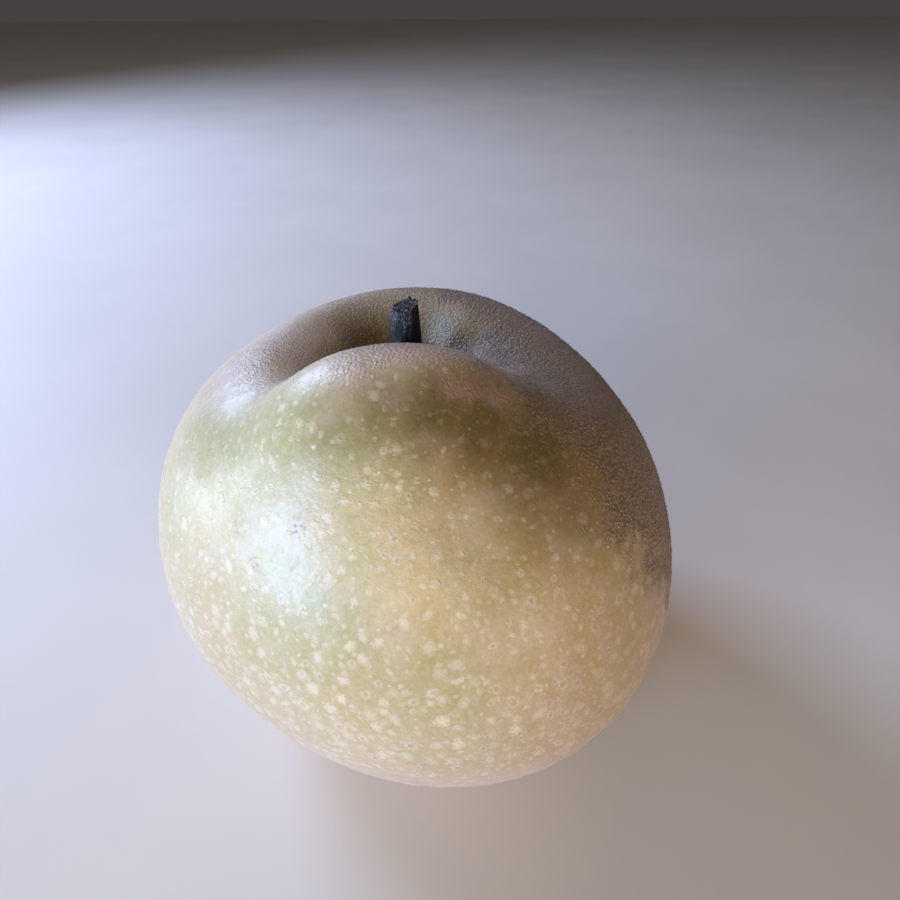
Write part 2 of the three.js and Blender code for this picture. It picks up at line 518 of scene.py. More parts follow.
@dataclass(frozen=True)
class SkinGround:
    """Group that gives the colour of the skin between its dots, with patches of painted shade and painted
    sheen; lengths are in metres.
    """

    middle: tuple[float, float]
    side: RussetSide
    green: tuple[Patch, ...]
    ochre: tuple[Patch, ...]
    # Patches of painted shade.
    umber: tuple[Patch, ...]
    russet: tuple[Patch, ...]
    # Patches of painted sheen.
    haze: tuple[Patch, ...]
    name: str = "skin_ground"
    cloud: Noise = Noise(42.0, 2.0)
    mottle: Noise = Noise(170.0, 4.0, 0.6)
    patchy: Noise = Noise(310.0, 3.0, 0.6)
    blob: Noise = Noise(620.0, 2.0, 0.5)
    grain: Noise = Noise(1500.0, 4.0, 0.7)
    edge_wobble: Ramp = Ramp(0.3, 0.7, -0.003, 0.003)
    straw_share: Ramp = Ramp(0.35, 0.7)
    green_mottling: float = 0.4
    green_edges: Ramp = Ramp(0.3, 0.7, -0.12, 0.12)
    green_share: Ramp = Ramp(0.66, 0.96, 0.0, 0.5)
    pale_spots: Ramp = Ramp(0.55, 0.36, 0.0, 0.4)
    straw_spots: Ramp = Ramp(0.45, 0.7, 0.0, 0.5)
    pale_below: Ramp = Ramp(0.052, 0.032, 0.0, 0.3)
    blush_below: Ramp = Ramp(0.036, 0.020, 0.0, 0.7)
    hollow_reach: Ramp = Ramp(0.019, 0.005)
    russet_wear: Ramp = Ramp(0.25, 0.6, 0.7, 1.0)
    russet_share: float = 0.92
    umber_wobble: float = 0.35
    grain_shade: Ramp = Ramp(0.3, 0.75, 0.88, 1.08)
    haze_ruggedness: float = 0.7

    def build(self, colours: GroundColours) -> Tree:
        """Makes the group with the skin's colours as its inputs.

        Args:
            colours: Colours that the inputs start with.

        Returns:
            The group's tree.
        """
        outputs = {"Colour": COLOUR, "Russeting": FLOAT, "Umbering": FLOAT, "Rugged": FLOAT}
        wire, given, out = new_group(self.name, {}, outputs)
        for label, value in vars(colours).items():
            socket = wire.tree.interface.new_socket(label.capitalize(), in_out="INPUT", socket_type=COLOUR)
            socket.default_value = value
        tint = given.outputs
        place = wire.place()
        mottle = wire.noise(place, self.mottle)
        wobble = wire.ramp(mottle, self.edge_wobble)
        grain = wire.noise(place, self.grain)
        russeting = self.russeting(wire, place, wobble)
        russeting = wire.times(russeting, wire.ramp(grain, self.russet_wear))
        # Painted shade: dark patches where the upper right and the cavity lie in shadow.
        painted_shading = patch_mask(wire, place, wire.times(wobble, self.umber_wobble), self.umber)
        # Painted sheen: pale mauve patches where the crest and the back left catch light at a grazing angle;
        # they also roughen the skin.
        haze = patch_mask(wire, place, wobble, self.haze)
        colour = self.ripening(wire, tint, place, mottle, wobble)
        colour = wire.blend(wire.times(russeting, self.russet_share), colour, tint["Russet"])
        colour = wire.blend(painted_shading, colour, tint["Umber"])
        colour = wire.blend(haze, colour, tint["Haze"])
        shade = wire.ramp(grain, self.grain_shade)
        shade = wire.node("ShaderNodeCombineColor", {0: shade, 1: shade, 2: shade}).outputs[0]
        rugged = wire.maths("MAXIMUM", russeting, wire.times(haze, self.haze_ruggedness))
        wire.feed(out.inputs["Colour"], wire.blend(1.0, colour, shade, "MULTIPLY"))
        wire.feed(out.inputs["Russeting"], russeting)
        wire.feed(out.inputs["Umbering"], painted_shading)
        wire.feed(out.inputs["Rugged"], rugged)
        return wire.tree

    def ripening(self, wire: Wiring, tint: Sockets, place: Socket, mottle: Socket, wobble: Socket) -> Socket:
        """Gold, straw, ochre and green, paler and pinker towards the bottom, the pink partly a painted sheen
        of the low rim.

        Args:
            wire: Wiring of the group.
            tint: Colours by name.
            place: Socket of the place in metres.
            mottle: Socket of the middling noise.
            wobble: Socket of a length that makes edges uneven.

        Returns:
            Socket of the colour.
        """
        patchy = wire.noise(place, self.patchy)
        colour = wire.blend(wire.ramp(mottle, self.straw_share), tint["Gold"], tint["Straw"])
        colour = wire.blend(patch_mask(wire, place, wobble, self.ochre), colour, tint["Ochre"])
        green = wire.maths("ADD", wire.times(mottle, self.green_mottling), wire.noise(place, self.cloud))
        green = wire.maths("ADD", green, wire.ramp(patchy, self.green_edges))
        green = wire.ramp(green, self.green_share)
        green = wire.maths("MAXIMUM", green, patch_mask(wire, place, wobble, self.green))
        colour = wire.blend(wire.ramp(patchy, self.pale_spots), colour, tint["Pale"])
        colour = wire.blend(green, colour, tint["Olive"])
        blob = wire.noise(place, self.blob)
        colour = wire.blend(wire.ramp(blob, self.straw_spots), colour, tint["Straw"])
        level = wire.node("ShaderNodeSeparateXYZ", {0: place}).outputs["Z"]
        level = wire.maths("ADD", level, wobble)
        colour = wire.blend(wire.ramp(level, self.pale_below), colour, tint["Pale"])
        # Pinker towards the bottom, partly a painted sheen of the low rim.
        return wire.blend(wire.ramp(level, self.blush_below), colour, tint["Blush"])

    def russeting(self, wire: Wiring, place: Socket, wobble: Socket) -> Socket:
        """Share of russet in the hollow, on the russet side and in patches.

        Args:
            wire: Wiring of the group.
            place: Socket of the place in metres.
            wobble: Socket of a length that makes edges uneven.

        Returns:
            Socket of the share.
        """
        split = wire.node("ShaderNodeSeparateXYZ", {0: place}).outputs
        off_x = wire.maths("SUBTRACT", split["X"], self.middle[0])
        off_y = wire.maths("SUBTRACT", split["Y"], self.middle[1])
        off = wire.node("ShaderNodeCombineXYZ", {"X": off_x, "Y": off_y}).outputs[0]
        hollow = wire.ramp(wire.maths("ADD", wire.measure("LENGTH", off), wobble), self.hollow_reach)
        patches = patch_mask(wire, place, wobble, self.russet)
        sides = wire.maths("MAXIMUM", patches, self.side.mask(wire, place, wobble))
        return wire.maths("MAXIMUM", hollow, sides)


@dataclass(frozen=True)
class SkinGrain:
    """Group that gives the fine relief of the skin and its tiny flecks."""

    name: str = "skin_grain"
    coarse: Noise = Noise(650.0, 3.0, 0.6)
    fine: Noise = Noise(3200.0, 2.0, 0.6)
    crumbs: Noise = Noise(2300.0, 3.0, 0.7)
    coarse_share: float = 0.8
    fine_share: float = 0.3
    pebbles_per_metre: float = 2000.0
    pebble_stretch: float = 0.75
    pebble_rise: float = 1.7
    pebble_dome: Ramp = Ramp(0.75, 0.15)
    fleck_dome: Ramp = Ramp(0.50, 0.28)

    def build(self) -> Tree:
        """Makes the group.

        Returns:
            The group's tree.
        """
        outputs = {"Height": FLOAT, "Flecks": FLOAT, "Crumble": FLOAT}
        wire, given, out = new_group(self.name, {"Rugged": FLOAT}, outputs)
        place = wire.place()
        pebbles = wire.cells(wire.stretched(place, self.pebble_stretch), self.pebbles_per_metre)
        raised = wire.times(wire.ramp(pebbles, self.pebble_dome), given.outputs["Rugged"], self.pebble_rise)
        coarse = wire.times(wire.noise(place, self.coarse), self.coarse_share)
        fine = wire.times(wire.noise(place, self.fine), self.fine_share)
        height = wire.maths("ADD", wire.maths("ADD", coarse, fine), raised)
        wire.feed(out.inputs["Height"], height)
        wire.feed(out.inputs["Flecks"], wire.ramp(pebbles, self.fleck_dome))
        wire.feed(out.inputs["Crumble"], wire.noise(place, self.crumbs))
        return wire.tree


def new_material(name: str) -> tuple[bpy.types.Material, Wiring, Node]:
    """Starts a node material.

    Args:
        name: Name of the material.

    Returns:
        The material, its wiring and its Principled shader.
    """
    material = bpy.data.materials.new(name)
    material.use_nodes = True
    wire = Wiring(material.node_tree)
    return material, wire, material.node_tree.nodes["Principled BSDF"]


@dataclass(frozen=True)
class Gloss:
    """Fuzz at grazing angles, strength of the gloss and depth of the relief in metres."""

    relief: float = 0.00008
    specular: float = 0.7
    sheen: float = 0.30
    sheen_rough: float = 0.45
    sheen_tint: Colour = (1.0, 0.80, 0.78, 1.0)

    def finish(self, wire: Wiring, shader: Node, colour: Socket, rough: Socket, height: Socket) -> None:
        """Joins a material's nodes to its shader and sets the shader's own numbers.

        Args:
            wire: Wiring of the material.
            shader: Its Principled shader.
            colour: Socket of the base colour.
            rough: Socket of the roughness.
            height: Socket of the relief, as a share of its depth.
        """
        bump = {"Strength": 1.0, "Distance": self.relief, "Height": height}
        wire.feed(shader.inputs["Base Color"], colour)
        wire.feed(shader.inputs["Roughness"], rough)
        wire.feed(shader.inputs["Normal"], wire.node("ShaderNodeBump", bump).outputs["Normal"])
        shader.inputs["Sheen Weight"].default_value = self.sheen
        shader.inputs["Sheen Roughness"].default_value = self.sheen_rough
        shader.inputs["Sheen Tint"].default_value = self.sheen_tint
        shader.inputs["Specular IOR Level"].default_value = self.specular


@dataclass(frozen=True)
class SkinFinish:
    """Satin skin of the fruit, between its raised dots."""

    specks: tuple[Patch, ...]
    gloss: Gloss = Gloss()
    fleck_colour: Colour = (0.41, 0.32, 0.25, 1.0)
    fleck_share: Ramp = Ramp(0.0, 0.6, 0.10, 0.55)
    glint_colour: Colour = (0.85, 0.76, 0.58, 1.0)
    glints_per_metre: float = 330.0
    glint_share: Ramp = Ramp(0.075, 0.045, 0.0, 0.6)
    glints_in_umber: Ramp = Ramp(0.1, 0.9, 1.0, 0.3)
    speck_colour: Colour = (0.20, 0.06, 0.04, 1.0)
    speck: Noise = Noise(1900.0, 1.0)
    speck_share: Ramp = Ramp(0.52, 0.60)
    roughness: Ramp = Ramp(0.4, 1.1, 0.37, 0.49)
    rugged_roughness: float = 0.20

    def build(self, ground: Tree, grain: Tree) -> bpy.types.Material:
        """Makes the material.

        Args:
            ground: Group of the skin's colours.
            grain: Group of its fine relief.

        Returns:
            The material.
        """
        material, wire, shader = new_material("nashi_skin")
        base = wire.node("ShaderNodeGroup", node_tree=ground).outputs
        fine = wire.node("ShaderNodeGroup", {"Rugged": base["Rugged"]}, node_tree=grain).outputs
        place = wire.place()
        flecks = wire.times(fine["Flecks"], wire.ramp(base["Rugged"], self.fleck_share))
        colour = wire.blend(flecks, base["Colour"], self.fleck_colour)
        glints = wire.ramp(wire.cells(place, self.glints_per_metre), self.glint_share)
        # Fewer glints where shade is painted.
        glints = wire.times(glints, wire.ramp(base["Umbering"], self.glints_in_umber))
        colour = wire.blend(glints, colour, self.glint_colour)
        specks = wire.ramp(wire.noise(place, self.speck), self.speck_share)
        specks = wire.times(specks, patch_mask(wire, place, 0.0, self.specks))
        colour = wire.blend(specks, colour, self.speck_colour)
        rough = wire.ramp(fine["Height"], self.roughness)
        rough = wire.maths("ADD", rough, wire.times(base["Rugged"], self.rugged_roughness))
        self.gloss.finish(wire, shader, colour, rough, fine["Height"])
        return material


@dataclass(frozen=True)
class DotFinish:
    """Corky raised dots that fade into the skin at their rims."""

    strength: float
    russet_strength: float
    cream: Colour = (0.72, 0.61, 0.45, 1.0)
    grey: Colour = (0.63, 0.57, 0.43, 1.0)
    pink: Colour = (0.69, 0.55, 0.46, 1.0)
    chalk: Colour = (0.77, 0.69, 0.58, 1.0)
    pore: Colour = (0.30, 0.19, 0.16, 1.0)
    gloss: Gloss = Gloss()
    grey_tones: Ramp = Ramp(0.3, 0.5)
    pink_tones: Ramp = Ramp(0.6, 0.75)
    chalk_below: Ramp = Ramp(0.044, 0.024, 0.0, 0.6)
    ragged_rim: Ramp = Ramp(0.3, 0.7, 0.27, -0.2)
    rim_fade: tuple[float, float] = (1.0, 0.28)
    tones_repeat: float = 7.0
    faintness: Ramp = Ramp(0.0, 1.0, 0.45, 1.0)
    fainter_above: Ramp = Ramp(0.062, 0.040, 0.75, 1.0)
    russet_range: tuple[float, float] = (0.3, 0.9)
    in_umber: Ramp = Ramp(0.1, 0.9, 1.0, 0.3)
    pore_share: Ramp = Ramp(0.1, 0.9, 0.0, 0.45)
    roughness: Ramp = Ramp(0.4, 1.1, 0.36, 0.47)
    crust_middle: float = 0.5
    crust_rise: Ramp = Ramp(1.0, 0.5, 0.0, 1.1)
    crust_below: Ramp = Ramp(0.050, 0.028, 1.0, 3.2)

    def build(self, name: str, ground: Tree, grain: Tree) -> bpy.types.Material:
        """Makes the material.

        Args:
            name: Name of the material.
            ground: Group of the skin's colours.
            grain: Group of its fine relief.

        Returns:
            The material.
        """
        material, wire, shader = new_material(name)
        base = wire.node("ShaderNodeGroup", node_tree=ground).outputs
        fine = wire.node("ShaderNodeGroup", {"Rugged": base["Rugged"]}, node_tree=grain).outputs
        rim, tone, pore = (wire.attribute(name) for name in ("dot_rim", "dot_tone", "dot_pore"))
        place = wire.place()
        level = wire.node("ShaderNodeSeparateXYZ", {0: place}).outputs["Z"]
        cork = wire.blend(wire.ramp(tone, self.grey_tones), self.cream, self.grey)
        cork = wire.blend(wire.ramp(tone, self.pink_tones), cork, self.pink)
        cork = wire.blend(wire.ramp(level, self.chalk_below), cork, self.chalk)
        ragged = wire.maths("ADD", rim, wire.ramp(fine["Crumble"], self.ragged_rim))
        share = wire.ramp(ragged, Ramp(*self.rim_fade, 0.0, self.strength))
        faint = wire.maths("FRACT", wire.times(tone, self.tones_repeat))
        share = wire.times(share, wire.ramp(faint, self.faintness), wire.ramp(level, self.fainter_above))
        in_russet = wire.ramp(base["Russeting"], Ramp(*self.russet_range, 1.0, self.russet_strength))
        # Dots fade where shade is painted.
        share = wire.times(share, in_russet, wire.ramp(base["Umbering"], self.in_umber))
        colour = wire.blend(share, base["Colour"], cork)
        colour = wire.blend(wire.ramp(pore, self.pore_share), colour, self.pore)
        crust = wire.maths("SUBTRACT", fine["Crumble"], self.crust_middle)
        crust = wire.times(crust, wire.ramp(rim, self.crust_rise), wire.ramp(level, self.crust_below))
        height = wire.maths("ADD", fine["Height"], crust)
        self.gloss.finish(wire, shader, colour, wire.ramp(fine["Height"], self.roughness), height)
        return material


@dataclass(frozen=True)
class BarkFinish:
    """Dark fibrous bark of the stem, browner and paler where it is torn, with painted bluish glints on the
    torn end.
    """

    dark: Colour = (0.006, 0.006, 0.008, 1.0)
    brown: Colour = (0.022, 0.014, 0.012, 1.0)
    torn: Colour = (0.035, 0.033, 0.042, 1.0)
    # Painted glints: bluish specks on the torn end that stand in for reflections of the light from the left.
    splinter: Colour = (0.22, 0.23, 0.30, 1.0)
    gloss: Gloss = Gloss(relief=0.00018, specular=0.3, sheen=0.0)
    fibre_stretch: float = 0.16
    fibre: Noise = Noise(2600.0, 4.0, 0.65)
    blotch: Noise = Noise(420.0, 3.0, 0.6)
    splinters: Noise = Noise(2900.0, 2.0)
    brown_fibres: Ramp = Ramp(0.45, 0.75, 0.0, 0.8)
    brown_blotches: Ramp = Ramp(0.55, 0.75, 0.0, 0.5)
    torn_fibres: Ramp = Ramp(0.35, 0.65, 0.1, 0.9)
    splinter_share: Ramp = Ramp(0.54, 0.66, 0.0, 0.6)
    roughness: Ramp = Ramp(0.3, 0.8, 0.5, 0.8)
    blotch_rise: float = 0.5

    def build(self) -> bpy.types.Material:
        """Makes the material.

        Returns:
            The material.
        """
        material, wire, shader = new_material("stem_bark")
        place = wire.place()
        fibre = wire.noise(wire.stretched(place, self.fibre_stretch), self.fibre)
        blotch = wire.noise(place, self.blotch)
        torn = wire.attribute("torn")
        colour = wire.blend(wire.ramp(fibre, self.brown_fibres), self.dark, self.brown)
        colour = wire.blend(wire.ramp(blotch, self.brown_blotches), colour, self.brown)
        colour = wire.blend(wire.times(torn, wire.ramp(fibre, self.torn_fibres)), colour, self.torn)
        # Painted glints on the torn end.
        splinters = wire.ramp(wire.noise(place, self.splinters), self.splinter_share)
        colour = wire.blend(wire.times(torn, splinters), colour, self.splinter)
        height = wire.maths("ADD", fibre, wire.times(blotch, self.blotch_rise))
        self.gloss.finish(wire, shader, colour, wire.ramp(fibre, self.roughness), height)
        return material


def grid_mesh(name: str, rings: np.ndarray, first: np.ndarray, last: np.ndarray) -> bpy.types.Mesh:
    """Closed mesh from rings of points between two poles.

    Args:
        name: Name of the mesh.
        rings: Places by ring, by step round it, by axis, in metres.
        first: Pole before the first ring.
        last: Pole after the last ring.

    Returns:
        The mesh. Its faces point outwards where the rings run down and the steps turn left.
    """
    count, around = rings.shape[:2]
    corner = np.arange(count * around).reshape(count, around)
    turned = np.roll(corner, -1, axis=1)
    walls = np.stack([corner[:-1], corner[1:], turned[1:], turned[:-1]], axis=-1).reshape(-1, 4)
    top, bottom = count * around, count * around + 1
    crown = [(top, int(a), int(b)) for a, b in zip(corner[0], turned[0])]
    foot = [(bottom, int(b), int(a)) for a, b in zip(corner[-1], turned[-1])]
    places = np.concatenate([rings.reshape(-1, 3), first[None], last[None]])
    mesh = bpy.data.meshes.new(name)
    mesh.from_pydata(places.tolist(), [], walls.tolist() + crown + foot)
    mesh.update()
    mesh.shade_smooth()
    return mesh


def show(name: str, mesh: bpy.types.Mesh) -> Thing:
    """Puts a mesh into the scene as an object at the origin.

    Args:
        name: Name of the object.
        mesh: Its mesh.

    Returns:
        The object.
    """
    shown = bpy.data.objects.new(name, mesh)
    bpy.context.scene.collection.objects.link(shown)
    return shown


def store(mesh: bpy.types.Mesh, name: str, values: np.ndarray) -> None:
    """Writes one number to each vertex of a mesh under a name."""
    attribute = mesh.attributes.new(name, "FLOAT", "POINT")
    attribute.data.foreach_set("value", values.astype(np.float32))


@dataclass(frozen=True)
class CavityFold:
    """Rounded fold on the wall of the stem cavity, from one reach to another, in millimetres."""

    azimuth: float
    height: float
    spread: float
    start: float = 4.0
    end: float = 18.0

    def rise(self, x: np.ndarray, y: np.ndarray) -> np.ndarray:
        """Rise of the skin at places in plan.

        Args:
            x: Distances to the right of the stem, in millimetres.
            y: Distances behind the stem, in millimetres.

        Returns:
            Rises in millimetres.
        """
        at = math.radians(self.azimuth)
        along = x * math.cos(at) + y * math.sin(at)
        across = (y * math.cos(at) - x * math.sin(at)) / self.spread
        middle = (self.start + self.end) / 2.0
        opens = smoothstep(along, self.start, middle)
        closes = 1.0 - smoothstep(along, middle, self.end)
        return self.height * opens * closes * np.exp(-(across**2) / 2.0)


@dataclass(frozen=True)
class Wrinkles:
    """Ring of small radial wrinkles round an end of the axis, in millimetres."""

    count: int
    reach: float
    spread: float
    depth: float
    swing: float

    def sink(self, reach: np.ndarray, azimuth: np.ndarray, sway: np.ndarray) -> np.ndarray:
        """Depth of the wrinkles.

        Args:
            reach: Distances from the axis in millimetres.
            azimuth: Angles round the axis in radians.
            sway: Bend of the wrinkles' lines in radians.

        Returns:
            Depths in millimetres.
        """
        share = np.exp(-(((reach - self.reach) / self.spread) ** 2))
        return share * self.depth * (1.0 + np.cos(self.count * azimuth + self.swing * sway))


@dataclass(frozen=True)
class DotPlaces:
    """How close and how large the dots are over the skin.

    Reaches are in millimetres, levels in metres and angles in degrees.
    """

    side: RussetSide
    bare_below: float = 0.9 * MM
    hollow_reach: tuple[float, float] = (4.0, 17.0)
    hollow_above: float = 0.03
    russet_reach: tuple[float, float] = (12.0, 25.0)
    low_levels: tuple[float, float] = (0.034, 0.056)
    girth_polar: float = 68.0
    girth_spread: float = 40.0
    least_size: float = 0.62
    girth_size: float = 0.38
    hollow_size: float = 0.25
    low_size: float = 0.35
    russet_thinning: float = 0.7
    upper_large: float = 0.5
    grain_clearing: float = 3.0
    grain_by_girth: tuple[float, float] = (0.8, 0.2)
    grain_by_ruggedness: tuple[float, float] = (0.7, 0.3)

    def fields(self, polar: np.ndarray, reach: np.ndarray, places: np.ndarray) -> dict[str, np.ndarray]:
        """Density and size of the dots at each place of the skin.

        Args:
            polar: Angles from the stem end in radians.
            reach: Distances from the axis in millimetres.
            places: The same places in metres.

        Returns:
            Fields by name, one number to each place.
        """
        clear = (places[:, 2] > self.bare_below).astype(float)
        hollow = (1.0 - smoothstep(reach, *self.hollow_reach)) * (places[:, 2] > self.hollow_above)
        side = self.side.share(places)
        russet = np.maximum(side, 1.0 - smoothstep(reach, *self.russet_reach))
        low = 1.0 - smoothstep(places[:, 2], *self.low_levels)
        girth = np.exp(-(((np.degrees(polar) - self.girth_polar) / self.girth_spread) ** 2))
        size = self.least_size + self.girth_size * girth - self.hollow_size * hollow
        away = clear * (1.0 - self.russet_thinning * russet)
        least, more = self.grain_by_girth
        grain_size = least + more * girth
        least, more = self.grain_by_ruggedness
        return {
            "dot_size": size * (1.0 + self.low_size * low),
            "large_density": away * (self.upper_large + (1.0 - self.upper_large) * low),
            "small_density": away,
            "grain_density": clear * np.sqrt(russet) * (reach > self.grain_clearing),
            "grain_size": grain_size * (least + more * np.maximum(side, hollow)),
        }


@dataclass
class FruitSkin:
    """The fruit's skin as a fine closed mesh just inside its solid's surface, in millimetres."""

    form: BodyForm
    shift: np.ndarray
    dots: DotPlaces
    name: str = "skin"
    rings: int = 288
    steps: int = 340
    inset: float = 0.12
    swell: float = 0.09
    pucker: float = 0.016
    swells: Ripple = Ripple(11, 7.0, 15.0)
    puckers: Ripple = Ripple(12, 2.6, 5.0)
    stem_wrinkles: Wrinkles = Wrinkles(17, 4.2, 2.2, 0.11, 3.0)
    calyx_wrinkles: Wrinkles = Wrinkles(11, 3.4, 2.4, 0.22, 2.0)
    sway: float = 0.6
    sway_per_reach: float = 0.5
    rim_clearance: tuple[float, float] = (3.2, 8.0)
    slope_step: float = 1e-3
    folds: tuple[CavityFold, ...] = (
        CavityFold(50.0, 0.65, 2.4, 5.0, 20.0),
        CavityFold(18.0, -0.5, 3.0, 5.0, 20.0),
        CavityFold(80.0, -0.6, 2.4, 4.0, 15.0),
        CavityFold(150.0, 0.6, 2.0),
        CavityFold(-160.0, -0.6, 1.8),
        CavityFold(-95.0, 0.5, 2.2, 4.0, 14.0),
        CavityFold(-55.0, -0.6, 1.8, 4.0, 16.0),
    )

    def wrinkles(self, places: np.ndarray, azimuth: np.ndarray) -> np.ndarray:
        """Depth of the wrinkles round the stem and in the calyx basin.

        Args:
            places: Places of the form in millimetres, one to a row.
            azimuth: Angles round the axis in radians.

        Returns:
            Depths in millimetres.
        """
        reach = np.hypot(places[:, 0], places[:, 1])
        sway = self.sway * np.sin(2.0 * azimuth + self.sway_per_reach * reach)
        at_stem = self.stem_wrinkles.sink(reach, azimuth, sway) * (places[:, 2] > 0.0)
        return at_stem + self.calyx_wrinkles.sink(reach, azimuth, sway) * (places[:, 2] < 0.0)

    def outward(self, polar: np.ndarray, azimuth: np.ndarray) -> np.ndarray:
        """Directions straight out of the form's surface.

        Args:
            polar: Angles from the stem end in radians.
            azimuth: Angles round the axis in radians.

        Returns:
            Directions of length 1, one to a row.
        """
        near = self.slope_step
        safe = np.clip(polar, 2.0 * near, math.pi - 2.0 * near)
        down = self.form.points(safe + near, azimuth) - self.form.points(safe - near, azimuth)
        round_it = self.form.points(safe, azimuth + near) - self.form.points(safe, azimuth - near)
        outward = np.cross(down, round_it)
        outward /= np.linalg.norm(outward, axis=1, keepdims=True)
        return outward

    def surface(self, polar: np.ndarray, azimuth: np.ndarray) -> np.ndarray:
        """Places of the skin in metres, with its soft unevenness.

        Args:
            polar: Angles from the stem end in radians.
            azimuth: Angles round the axis in radians.

        Returns:
            Places, one to a row.
        """
        places = self.form.points(polar, azimuth)
        depth = self.inset + self.swell * (1.0 + self.swells.height(places) / 2.0)
        depth = depth + self.pucker * (1.0 + self.puckers.height(places) / 2.0)
        depth = depth + self.wrinkles(places, azimuth)
        root = self.form.points(np.zeros(1), np.zeros(1))[0]
        upper = places[:, 2] > 0.0
        for fold in self.folds:
            depth = depth - upper * fold.rise(places[:, 0] - root[0], places[:, 1] - root[1])
        rim = (self.form.rim_outer + self.form.rim_inner) / 2.0
        clear = smoothstep(np.abs(np.degrees(polar) - rim), *self.rim_clearance)
        outward = self.outward(polar, azimuth)
        return (places - outward * (depth * clear)[:, None] + self.shift) * MM

    def build(self, finish: bpy.types.Material) -> Thing:
        """Makes the skin's object with its fields and finish.

        Args:
            finish: Material of the skin.

        Returns:
            The skin's object.
        """
        polar = np.linspace(0.0, math.pi, self.rings + 2)[1:-1]
        azimuth = np.arange(self.steps) * math.tau / self.steps
        polar, azimuth = (grid.ravel() for grid in np.meshgrid(polar, azimuth, indexing="ij"))
        places = self.surface(polar, azimuth)
        ends = self.surface(np.array([0.0, math.pi]), np.zeros(2))
        mesh = grid_mesh(self.name, places.reshape(self.rings, self.steps, 3), ends[0], ends[1])
        places = np.concatenate([places, ends])
        polar = np.concatenate([polar, [0.0, math.pi]])
        reach = np.hypot(places[:, 0] - self.shift[0] * MM, places[:, 1] - self.shift[1] * MM) / MM
        for field, values in self.dots.fields(polar, reach, places).items():
            store(mesh, field, values)
        mesh.materials.append(finish)
        return show(self.name, mesh)


class DotKind(Enum):
    """Sorts of dot, by the size of the pore and its distance from the middle."""

    PLAIN = (0.0, 0.0)
    PORED = (0.12, 0.0)
    SIDE_PORE = (0.12, 0.3)


@dataclass(frozen=True)
class DotShape:
    """One raised dot of unit radius as a low dome whose rim lies under the skin."""

    sides: int
    rings: tuple[float, ...]
    rise: float
    sunk: float
    roundness: float = 1.5
    pore_dip: float = 0.03

    def mesh(self, name: str, kind: DotKind) -> bpy.types.Mesh:
        """Makes the dome with its middle at the origin.

        Args:
            name: Name of the mesh.
            kind: Sort of dot.

        Returns:
            The mesh in units of the dot's radius, with its fields.
        """
        pore_size, pore_off = kind.value
        middle = np.array([pore_off, 0.0])
        places, rims, pores = [], [], []
        for place, ring in enumerate(self.rings):
            for side in range(self.sides):
                angle = math.tau * (side + 0.5 * (place % 2)) / self.sides
                spot = middle * (1.0 - ring) + ring * np.array([math.cos(angle), math.sin(angle)])
                places.append((*spot, self.height(ring)))
                rims.append(ring)
                pores.append(1.0 if ring <= pore_size else 0.0)
        places.append((*middle, self.height(0.0) - (self.pore_dip if pore_size else 0.0)))
        rims.append(0.0)
        pores.append(1.0 if pore_size else 0.0)
        mesh = bpy.data.meshes.new(name)
        mesh.from_pydata(places, [], self.faces())
        mesh.update()
        mesh.shade_smooth()
        store(mesh, "dot_rim", np.array(rims))
        store(mesh, "dot_pore", np.array(pores))
        return mesh

    def height(self, ring: float) -> float:
        """Height above the skin at a share of the radius."""
        return self.rise * (1.0 - ring**2) ** self.roundness - self.sunk * ring**3

    def faces(self) -> list[tuple[int, ...]]:
        """Triangles between the rings and round the middle.

        Returns:
            The corners of each triangle, turning left as seen from above.
        """
        made = []
        for ring in range(len(self.rings) - 1):
            shift = ring % 2
            for side in range(self.sides):
                outer, inner = ring * self.sides, (ring + 1) * self.sides
                a, b = outer + side, outer + (side + 1) % self.sides
                c, d = inner + side, inner + (side + 1) % self.sides
                made.extend([(a, b, d), (a, d, c)] if shift else [(a, b, c), (b, d, c)])
        last, centre = (len(self.rings) - 1) * self.sides, len(self.rings) * self.sides
        for side in range(self.sides):
            made.append((last + side, last + (side + 1) % self.sides, centre))
        return made


